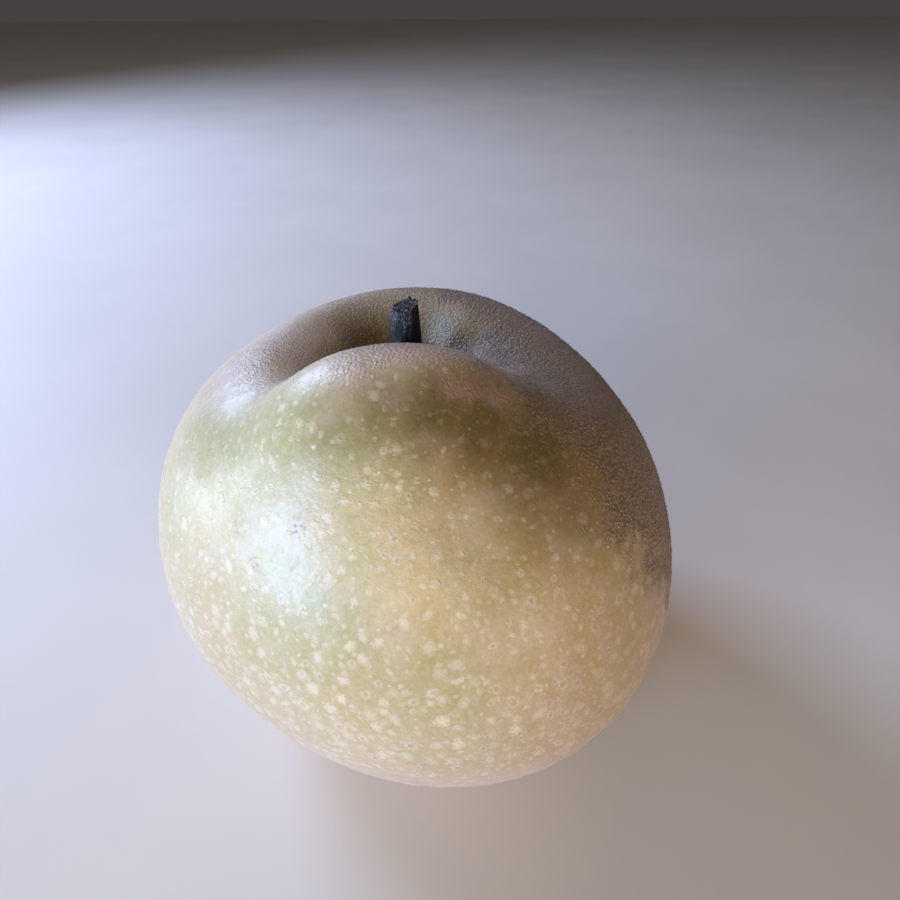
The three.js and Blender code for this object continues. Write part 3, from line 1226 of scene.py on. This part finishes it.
@dataclass
class DotField:
    """Raised dots scattered over the skin by a seeded rule, with sizes in millimetres."""

    name: str
    spacing: float
    density: float
    smallest: float
    largest: float
    seed: int
    shape: DotShape
    kinds: tuple[DotKind, ...]
    close_field: str
    size_field: str = "dot_size"
    narrowest: float = 0.62
    small_bias: float = 1.6
    under_one: float = 0.999

    def samples(self) -> bpy.types.Collection:
        """Makes one object of each sort of dot, kept out of the scene.

        Returns:
            The collection that holds them.
        """
        group = bpy.data.collections.new(f"{self.name}_samples")
        for place, kind in enumerate(self.kinds):
            label = f"{self.name}_{place}_{kind.name.lower()}"
            group.objects.link(bpy.data.objects.new(label, self.shape.mesh(label, kind)))
        return group

    def tree(self) -> Tree:
        """Makes the geometry tree that scatters, turns and scales the dots.

        Returns:
            The tree.
        """
        tree = bpy.data.node_groups.new(f"{self.name}_scatter", "GeometryNodeTree")
        sockets = {
            "Skin": "NodeSocketGeometry",
            "Samples": "NodeSocketCollection",
            "Finish": "NodeSocketMaterial",
            "Spacing": FLOAT,
            "Density": FLOAT,
            "Smallest": FLOAT,
            "Largest": FLOAT,
            "Seed": "NodeSocketInt",
        }
        for label, kind in sockets.items():
            tree.interface.new_socket(label, in_out="INPUT", socket_type=kind)
        tree.interface.new_socket("Dots", in_out="OUTPUT", socket_type="NodeSocketGeometry")
        wire = Wiring(tree)
        given, out = wire.node("NodeGroupInput").outputs, wire.node("NodeGroupOutput")
        inputs = {"Mesh": given["Skin"], "Distance Min": given["Spacing"], "Density Max": given["Density"]}
        inputs |= {"Density Factor": self.field(wire, self.close_field), "Seed": given["Seed"]}
        scatter = wire.node("GeometryNodeDistributePointsOnFaces", inputs, distribute_method="POISSON")
        tone = self.draw(wire, given["Seed"], 1, 0.0, 1.0)
        inputs = {"Name": "dot_tone", "Geometry": scatter.outputs["Points"], "Value": tone}
        toned = wire.node("GeometryNodeStoreNamedAttribute", inputs, data_type="FLOAT", domain="POINT")
        inputs = {"Axis": (0.0, 0.0, 1.0), "Angle": self.draw(wire, given["Seed"], 2, 0.0, math.tau)}
        spin = wire.node("FunctionNodeAxisAngleToRotation", inputs).outputs["Rotation"]
        inputs = {"Rotation": scatter.outputs["Rotation"], "Rotate By": spin}
        turn = wire.node("FunctionNodeRotateRotation", inputs, rotation_space="LOCAL")
        pick = self.draw(wire, given["Seed"], 5, 0.0, float(len(self.kinds)))
        dots = {"Separate Children": True, "Reset Children": True, "Collection": given["Samples"]}
        inputs = {
            "Points": toned.outputs["Geometry"],
            "Instance": wire.node("GeometryNodeCollectionInfo", dots).outputs["Instances"],
            "Pick Instance": True,
            "Instance Index": wire.maths("FLOOR", wire.times(pick, self.under_one)),
            "Rotation": turn.outputs["Rotation"],
            "Scale": self.scale(wire, given),
        }
        placed = wire.node("GeometryNodeInstanceOnPoints", inputs)
        real = wire.node("GeometryNodeRealizeInstances", {"Geometry": placed.outputs["Instances"]})
        inputs = {"Geometry": real.outputs["Geometry"], "Material": given["Finish"]}
        dressed = wire.node("GeometryNodeSetMaterial", inputs)
        wire.feed(out.inputs["Dots"], dressed.outputs["Geometry"])
        return tree

    def field(self, wire: Wiring, name: str) -> Socket:
        """Numbers that the skin carries under a name."""
        made = wire.node("GeometryNodeInputNamedAttribute", {"Name": name}, data_type="FLOAT")
        return made.outputs["Attribute"]

    def scale(self, wire: Wiring, given: Sockets) -> Socket:
        """Size of each dot, mostly small and a little narrower one way.

        Args:
            wire: Wiring of the tree.
            given: The tree's inputs by name.

        Returns:
            Socket of the scale along each axis.
        """
        share = wire.maths("POWER", self.draw(wire, given["Seed"], 3, 0.0, 1.0), self.small_bias)
        inputs = {"Value": share, "To Min": given["Smallest"], "To Max": given["Largest"]}
        radius = wire.node("ShaderNodeMapRange", inputs).outputs["Result"]
        radius = wire.times(radius, self.field(wire, self.size_field))
        wide = wire.times(radius, self.draw(wire, given["Seed"], 4, self.narrowest, 1.0))
        return wire.node("ShaderNodeCombineXYZ", {"X": radius, "Y": wide, "Z": radius}).outputs["Vector"]

    def draw(self, wire: Wiring, seed: Socket, step: int, low: float, high: float) -> Socket:
        """Random number for each point, from the tree's seed and a step of its own.

        Args:
            wire: Wiring of the tree.
            seed: Socket of the seed.
            step: Step that keeps this draw apart from the others.
            low: Least number.
            high: Greatest number.

        Returns:
            Socket of the number.
        """
        inputs = {"Seed": wire.maths("ADD", seed, float(step)), 2: low, 3: high}
        return wire.node("FunctionNodeRandomValue", inputs, data_type="FLOAT").outputs[1]

    def build(self, skin: Thing, finish: bpy.types.Material) -> Thing:
        """Scatters the dots over a skin.

        Args:
            skin: The skin's object, with its fields.
            finish: Material of the dots.

        Returns:
            The dots as one plain mesh object.
        """
        base = show(f"{self.name}_base", skin.data.copy())
        modifier = base.modifiers.new("scatter", "NODES")
        modifier.node_group = self.tree()
        values = {
            "Samples": self.samples(),
            "Finish": finish,
            "Spacing": self.spacing * MM,
            "Density": self.density / MM**2,
            "Smallest": self.smallest * MM,
            "Largest": self.largest * MM,
            "Seed": self.seed,
        }
        for item in modifier.node_group.interface.items_tree:
            if item.name in values:
                modifier[item.identifier] = values[item.name]
        graph = bpy.context.evaluated_depsgraph_get()
        mesh = bpy.data.meshes.new_from_object(base.evaluated_get(graph))
        base.modifiers.remove(modifier)
        bpy.data.objects.remove(base)
        mesh.name = self.name
        return show(self.name, mesh)


@dataclass
class Stem:
    """Short woody stem with ribs, a flared foot and a slanted, torn end, in millimetres."""

    name: str = "stem_bark"
    height: float = 18.4
    foot_radius: float = 3.0
    tip_radius: float = 2.1
    foot_shift: float = 0.6
    shift_power: float = 1.5
    hollowing: float = 0.8
    ribs: int = 5
    rib_depth: float = 0.02
    twist: float = 3.0
    slope: float = 0.3
    slope_azimuth: float = 20.0
    slope_from: float = 0.8
    end_drop: float = 0.25
    end_roughness: float = 0.15
    end_zone: float = 0.4
    tear_azimuth: float = -135.0
    tear_width: tuple[float, float] = (-0.1, 0.5)
    tear_from: float = 14.6
    tear_fade: float = 0.5
    tear_jags: tuple[tuple[float, float, float], ...] = ((0.9, 5.0, 0.0), (0.6, 11.0, 1.0))
    tear_depth: float = 0.14
    tear_fibres: tuple[float, float] = (0.55, 0.45)
    fibre_sharpness: float = 1.5
    root_drop: float = 1.15
    bark_inset: float = 0.05
    fibre_depth: float = 0.03
    lump_depth: float = 0.035
    fibres: Ripple = Ripple(31, 0.35, 1.1, 40)
    fibre_stretch: tuple[float, float] = (2.2, 0.12)
    lumps: Ripple = Ripple(32, 1.2, 3.0)
    lump_stretch: tuple[float, float] = (2.0, 1.0)
    splinters: Ripple = Ripple(33, 0.5, 1.4)
    splinter_stretch: float = 1.5
    rings: int = 120
    steps: int = 110
    end_rings: int = 16

    def build(self, root: np.ndarray, finish: bpy.types.Material) -> Thing:
        """Makes the stem.

        Args:
            root: Place on the skin where the stem leaves it, in metres.
            finish: Material of the bark.

        Returns:
            The stem's object.
        """
        rise = np.linspace(1.0, 0.0, self.rings)
        turn = np.arange(self.steps) * math.tau / self.steps
        rise, turn = np.meshgrid(rise, turn, indexing="ij")
        radius = self.tip_radius + (self.foot_radius - self.tip_radius) * (1.0 - rise) ** self.hollowing
        height = rise * self.height
        cap = (np.arange(self.end_rings) + 0.5) / self.end_rings
        cap_radius = np.repeat(cap[:, None] * self.tip_radius, self.steps, axis=1)
        radius = np.concatenate([cap_radius, radius])
        height = np.concatenate([np.full_like(cap_radius, self.height), height])
        turn = np.concatenate([turn[: self.end_rings], turn])
        places, torn = self.carve(radius, height, turn)
        tip, tip_torn = self.carve(np.zeros((1, 1)), np.full((1, 1), self.height), np.zeros((1, 1)))
        base = root / MM - np.array([0.0, 0.0, self.root_drop])
        mesh = grid_mesh(self.name, (places + base) * MM, (tip[0, 0] + base) * MM, base * MM)
        store(mesh, "torn", np.concatenate([torn.ravel(), tip_torn.ravel(), [0.0]]))
        mesh.materials.append(finish)
        return show(self.name, mesh)

    def relief(self, ripple: Ripple, x: np.ndarray, y: np.ndarray, height: np.ndarray) -> np.ndarray:
        """Heights of a ripple at places on a grid.

        Args:
            ripple: The ripple.
            x: Distances to the right, already stretched.
            y: Distances to the back, already stretched.
            height: Heights, already stretched.

        Returns:
            The ripple's heights on the same grid.
        """
        spots = np.stack([x, y, height], axis=-1).reshape(-1, 3)
        return ripple.height(spots).reshape(height.shape)

    def tearing(self, height: np.ndarray, turn: np.ndarray) -> np.ndarray:
        """How torn the bark is near the end, with a jagged lower edge.

        Args:
            height: Plain height at each place, in millimetres.
            turn: Angle round the stem at each place, in radians.

        Returns:
            Shares between 0 and 1.
        """
        side = np.cos(turn - math.radians(self.tear_azimuth))
        edge = self.tear_from
        for high, count, start in self.tear_jags:
            edge = edge + high * np.sin(count * turn + start)
        return smoothstep(side, *self.tear_width) * smoothstep(height - edge, 0.0, self.tear_fade)

    def carve(
        self, radius: np.ndarray, height: np.ndarray, turn: np.ndarray
    ) -> tuple[np.ndarray, np.ndarray]:
        """Ribs, fibres, tears and the slanted end.

        Args:
            radius: Plain radius at each place, in millimetres.
            height: Plain height at each place, in millimetres.
            turn: Angle round the stem at each place, in radians.

        Returns:
            Places, and how torn each is.
        """
        twisted = turn + math.radians(self.twist) * height
        rib = 1.0 + self.rib_depth * np.cos(self.ribs * twisted)
        wide, tall = self.fibre_stretch
        fibre = self.relief(self.fibres, np.cos(turn) * wide, np.sin(turn) * wide, height * tall)
        wide, tall = self.lump_stretch
        lump = self.relief(self.lumps, np.cos(turn) * wide, np.sin(turn) * wide, height * tall)
        torn = self.tearing(height, turn)
        inset = self.bark_inset + self.fibre_depth * (1.0 + fibre) + self.lump_depth * (1.0 + lump)
        least, more = self.tear_fibres
        inset = inset + torn * self.tear_depth * (least + more * np.tanh(self.fibre_sharpness * fibre))
        share = np.clip(radius / self.tip_radius, 0.0, 1.0)
        wide = np.maximum(radius * rib - inset * share, 0.0)
        x, y = wide * np.cos(turn), wide * np.sin(turn)
        x = x + self.foot_shift * (1.0 - np.clip(height / self.height, 0.0, 1.0)) ** self.shift_power
        at = math.radians(self.slope_azimuth)
        end = smoothstep(height / self.height, self.slope_from, 1.0)
        rough = self.relief(self.splinters, x * self.splinter_stretch, y * self.splinter_stretch, 0.0 * x)
        at_end = smoothstep(height, self.height - self.end_zone, self.height)
        sloped = self.slope * (x * math.cos(at) + y * math.sin(at)) - self.end_drop
        sloped = sloped - self.end_roughness * (1.0 + rough) * at_end
        return np.stack([x, y, height + end * sloped], axis=-1), np.maximum(torn, at_end)


@dataclass(frozen=True)
class PhotoCamera:
    """Camera over the front of the pear, looking down at it; lengths are in millimetres."""

    elevation: float = 43.17
    distance: float = 126.44
    pan: float = -3.121
    tilt: float = -6.192
    sensor: float = 36.0
    focal_pixels: float = 673.0
    picture_pixels: float = 900.0
    nearest: float = 5.0

    def across(self, ahead: Vector) -> tuple[Vector, Vector]:
        """Directions to the right of a line of sight and above it."""
        right = ahead.cross(Vector((0.0, 0.0, 1.0))).normalized()
        return right, right.cross(ahead)

    def build(self, middle: np.ndarray) -> Thing:
        """Makes the scene's camera.

        Args:
            middle: Middle of the fruit's girth, in millimetres.

        Returns:
            The camera's object.
        """
        up_angle = math.radians(self.elevation)
        place = Vector((0.0, -math.cos(up_angle), math.sin(up_angle))) * self.distance
        ahead = -place.normalized()
        right, above = self.across(ahead)
        ahead = ahead - right * math.tan(math.radians(self.pan)) - above * math.tan(math.radians(self.tilt))
        ahead.normalize()
        right, above = self.across(ahead)
        data = bpy.data.cameras.new("photo_camera")
        data.sensor_width = self.sensor
        data.lens = self.sensor * self.focal_pixels / self.picture_pixels
        data.clip_start = self.nearest * MM
        camera = bpy.data.objects.new("photo_camera", data)
        bpy.context.scene.collection.objects.link(camera)
        turn = Matrix((right, above, -ahead)).transposed().to_4x4()
        camera.matrix_world = Matrix.Translation((Vector(middle) + place) * MM) @ turn
        bpy.context.scene.camera = camera
        return camera


@dataclass(frozen=True)
class SoftLight:
    """Square area light that faces the fruit, in metres, degrees and watts."""

    name: str
    azimuth: float
    elevation: float
    distance: float
    size: tuple[float, float]
    power: float
    colour: tuple[float, float, float]

    def build(self, target: Vector) -> Thing:
        """Makes the light.

        Args:
            target: Place that it faces, in metres.

        Returns:
            The light's object.
        """
        data = bpy.data.lights.new(self.name, "AREA")
        data.shape = "RECTANGLE"
        data.size, data.size_y = self.size
        data.energy = self.power
        data.color = self.colour
        light = bpy.data.objects.new(self.name, data)
        round_it, up_angle = math.radians(self.azimuth), math.radians(self.elevation)
        flat = math.cos(up_angle)
        heading = Vector((flat * math.cos(round_it), flat * math.sin(round_it), math.sin(up_angle)))
        light.location = target + heading * self.distance
        light.rotation_euler = (-heading).to_track_quat("-Z", "Y").to_euler()
        bpy.context.scene.collection.objects.link(light)
        return light


@dataclass(frozen=True)
class Studio:
    """Pale floor, dim sky and soft lights, bluish from the left and behind and warm from the front."""

    floor_size: float = 3.0
    floor_colour: Colour = (0.76, 0.71, 0.65, 1.0)
    floor_roughness: float = 0.6
    floor_cloud: Noise = Noise(14.0)
    floor_tones: Ramp = Ramp(0.3, 0.7)
    paler: float = 1.06
    sky_colour: Colour = (1.0, 0.93, 0.88, 1.0)
    sky_strength: float = 0.06
    lit_height: float = 0.04
    lights: tuple[SoftLight, ...] = (
        SoftLight("left_window", 213.0, 5.0, 0.60, (0.16, 0.18), 2.9, (0.37, 0.64, 1.0)),
        SoftLight("left_pane", 197.0, 3.0, 0.60, (0.10, 0.12), 1.15, (0.40, 0.65, 1.0)),
        SoftLight("far_left_window", 172.0, -0.5, 0.60, (0.16, 0.06), 0.95, (0.62, 0.78, 1.0)),
        SoftLight("front_glow", 250.0, 19.0, 0.60, (0.46, 0.16), 2.0, (1.0, 0.76, 0.56)),
        SoftLight("low_front", 298.0, 4.0, 0.60, (0.36, 0.12), 0.5, (1.0, 0.82, 0.66)),
        SoftLight("back_window", 137.0, 30.0, 0.70, (0.26, 0.24), 4.3, (0.52, 0.65, 1.0)),
        SoftLight("high_fill", 95.0, 55.0, 0.80, (0.50, 0.50), 0.6, (1.0, 0.78, 0.66)),
    )

    def floor(self) -> Thing:
        """Makes the floor.

        Returns:
            The floor's object.
        """
        half = self.floor_size / 2.0
        mesh = bpy.data.meshes.new("floor")
        corners = [(-half, -half, 0.0), (half, -half, 0.0), (half, half, 0.0), (-half, half, 0.0)]
        mesh.from_pydata(corners, [], [(0, 1, 2, 3)])
        material, wire, shader = new_material("pale_floor")
        tone = wire.ramp(wire.noise(wire.place(), self.floor_cloud), self.floor_tones)
        paler = tuple(min(1.0, channel * self.paler) for channel in self.floor_colour)
        wire.feed(shader.inputs["Base Color"], wire.blend(tone, self.floor_colour, paler))
        shader.inputs["Roughness"].default_value = self.floor_roughness
        mesh.materials.append(material)
        return show("floor", mesh)

    def build(self) -> None:
        """Makes the floor, the sky and the lights."""
        self.floor()
        world = bpy.data.worlds.new("soft_sky")
        world.use_nodes = True
        sky = world.node_tree.nodes["Background"]
        sky.inputs["Color"].default_value = self.sky_colour
        sky.inputs["Strength"].default_value = self.sky_strength
        bpy.context.scene.world = world
        bpy.context.scene.view_settings.view_transform = "Standard"
        for light in self.lights:
            light.build(Vector((0.0, 0.0, self.lit_height)))


SKIN_PATCHES = {
    "green": (
        Patch((-0.0156, -0.0223, 0.0711), 0.0065, 0.6),
        Patch((-0.0204, -0.0202, 0.0675), 0.0065, 0.65),
        Patch((-0.0280, -0.0132, 0.0634), 0.0075, 0.55),
        Patch((-0.0060, -0.0290, 0.0700), 0.0060, 0.7),
        Patch((-0.0060, -0.0360, 0.0620), 0.0050, 0.6),
        Patch((-0.0099, -0.0392, 0.0518), 0.0080, 0.5),
        Patch((-0.0180, -0.0370, 0.0470), 0.0070, 0.35),
        Patch((0.0065, -0.0391, 0.0588), 0.0060, 0.35),
        Patch((0.0020, -0.0440, 0.0460), 0.0075, 0.45),
        Patch((0.0300, 0.0150, 0.0350), 0.0110, 0.5),
        Patch((-0.0250, 0.0280, 0.0450), 0.0120, 0.7),
    ),
    "ochre": (
        Patch((0.0028, -0.0304, 0.0697), 0.0090, 0.6),
        Patch((0.0118, -0.0370, 0.0610), 0.0090, 0.45),
        Patch((0.0060, -0.0450, 0.0400), 0.0120, 0.3),
        Patch((0.0100, 0.0400, 0.0400), 0.0130, 0.6),
    ),
    # Painted shade on the upper right and in the cavity.
    "umber": (
        Patch((0.0098, -0.0250, 0.0738), 0.0070, 0.92),
        Patch((0.0160, -0.0268, 0.0692), 0.0070, 0.90),
        Patch((0.0050, -0.0255, 0.0750), 0.0062, 0.88),
        Patch((-0.0005, -0.0258, 0.0750), 0.0056, 0.62),
        Patch((-0.0060, -0.0260, 0.0742), 0.0054, 0.35),
        Patch((0.0205, -0.0290, 0.0652), 0.0070, 0.60),
        Patch((-0.0076, 0.0114, 0.0667), 0.0070, 0.90),
    ),
    "russet": (
        Patch((0.0020, 0.0220, 0.0740), 0.0170, 0.6),
        Patch((-0.0200, 0.0020, 0.0740), 0.0100, 0.4),
    ),
    # Painted sheen on the crest and the back left.
    "haze": (
        Patch((-0.0050, -0.0165, 0.0785), 0.0045, 0.5),
        Patch((0.0010, -0.0175, 0.0790), 0.0045, 0.65),
        Patch((0.0062, -0.0182, 0.0782), 0.0042, 0.6),
        Patch((0.0112, -0.0188, 0.0758), 0.0036, 0.45),
        Patch((-0.0190, 0.0075, 0.0686), 0.0066, 0.6),
        Patch((-0.0236, 0.0033, 0.0680), 0.0075, 0.6),
        Patch((-0.0290, 0.0010, 0.0655), 0.0070, 0.4),
    ),
}
SPECK_CLUSTERS = (
    Patch((-0.0134, -0.0312, 0.0626), 0.0011, 0.9),
    Patch((-0.0218, -0.0271, 0.0593), 0.0010, 0.7),
    Patch((-0.0196, -0.0311, 0.0564), 0.0011, 0.6),
)

LARGE_CORK = DotFinish(strength=0.84, russet_strength=0.4)
SMALL_CORK = DotFinish(strength=0.62, russet_strength=0.4)
GRAIN_CORK = DotFinish(
    strength=0.95,
    russet_strength=0.95,
    cream=(0.43, 0.34, 0.25, 1.0),
    grey=(0.39, 0.33, 0.26, 1.0),
    pink=(0.43, 0.33, 0.28, 1.0),
    chalk=(0.43, 0.34, 0.25, 1.0),
)

LARGE_DOTS = DotField(
    name="large_dots",
    spacing=1.5,
    density=0.38,
    smallest=0.75,
    largest=1.45,
    seed=5,
    shape=DotShape(sides=9, rings=(1.0, 0.8, 0.45, 0.12), rise=0.03, sunk=0.018),
    kinds=(DotKind.PORED, *[DotKind.PLAIN] * 3, DotKind.SIDE_PORE, *[DotKind.PLAIN] * 2),
    close_field="large_density",
)

SMALL_DOTS = DotField(
    name="small_dots",
    spacing=1.15,
    density=0.40,
    smallest=0.42,
    largest=0.78,
    seed=9,
    shape=DotShape(sides=7, rings=(1.0, 0.7, 0.35), rise=0.03, sunk=0.018),
    kinds=(DotKind.PLAIN,),
    close_field="small_density",
)

GRAINS = DotField(
    name="skin_grains",
    spacing=0.58,
    density=3.4,
    smallest=0.18,
    largest=0.42,
    seed=3,
    shape=DotShape(sides=5, rings=(1.0, 0.5), rise=0.40, sunk=0.09),
    kinds=(DotKind.PLAIN,),
    close_field="grain_density",
    size_field="grain_size",
)


def settle(piece: Thing, nodes: tuple[str, ...]) -> None:
    """Rides a piece on the pear's body and hides the solids that it stands for.

    Args:
        piece: The piece's object.
        nodes: Solids that it stands for.
    """
    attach(piece, "root")
    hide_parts(*nodes)
    piece.data.calc_loop_triangles()
    LOG.info("%s: %d triangles", piece.name, len(piece.data.loop_triangles))


def main() -> None:
    """Builds the pear, its light and the camera."""
    logging.basicConfig(level=logging.INFO, format="%(message)s")
    form = BodyForm()
    shift = SkinPlace(form).shift()
    PhotoCamera().build(shift)
    Studio().build()
    middle = (float(shift[0]) * MM, float(shift[1]) * MM)
    side = RussetSide()
    ground = SkinGround(middle, side, **SKIN_PATCHES).build(GroundColours())
    grain = SkinGrain().build()
    skin = FruitSkin(form, shift, DotPlaces(side)).build(SkinFinish(SPECK_CLUSTERS).build(ground, grain))
    large = LARGE_DOTS.build(skin, LARGE_CORK.build("large_dot_cork", ground, grain))
    small = SMALL_DOTS.build(skin, SMALL_CORK.build("small_dot_cork", ground, grain))
    grains = GRAINS.build(skin, GRAIN_CORK.build("grain_cork", ground, grain))
    root = (form.points(np.zeros(1), np.zeros(1))[0] + shift) * MM
    stem = Stem().build(root, BarkFinish().build())
    settle(skin, ("fruit",))
    settle(large, ())
    settle(small, ())
    settle(grains, ())
    settle(stem, ("stem",))


if __name__ == "__main__":
    main()
